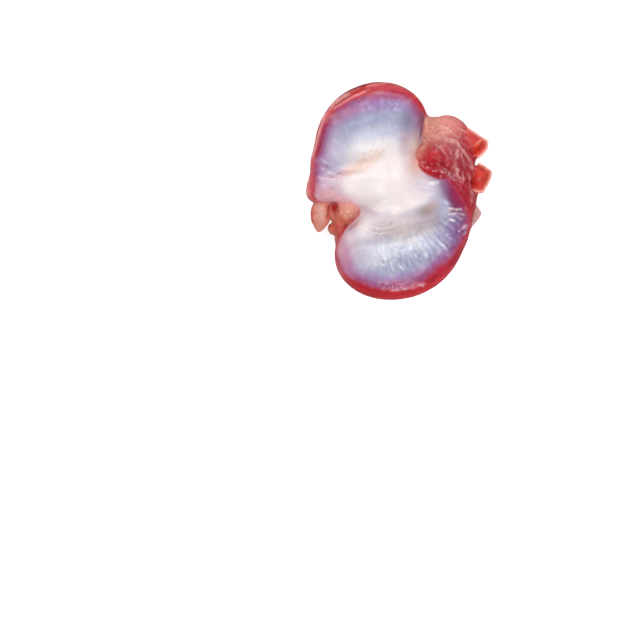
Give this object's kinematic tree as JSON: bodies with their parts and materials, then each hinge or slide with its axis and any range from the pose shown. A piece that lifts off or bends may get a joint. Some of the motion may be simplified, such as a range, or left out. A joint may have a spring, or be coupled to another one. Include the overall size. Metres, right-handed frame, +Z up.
{
  "type": "chicken gizzard",
  "caption": "Raw cleaned chicken gizzard, cut open and laid flat: twin muscle lobes under a white tendon plate, with a flap of thinner muscle and bits of fat in the notches.",
  "frame": {"origin": "middle of the overall length and width, at the flat underside that rests on the table", "axes": "+Z up out of the tendon face, +Y from the lower lobe to the upper lobe, +X towards the flap with the cut tube ends"},
  "size_m": [0.0539, 0.0632, 0.0168],
  "materials": {
    "raw_gizzard": "wet raw muscle with a white tendon face"
  },
  "bodies": {
    "root": {"gizzard": "raw_gizzard"}
  },
  "joints": []
}
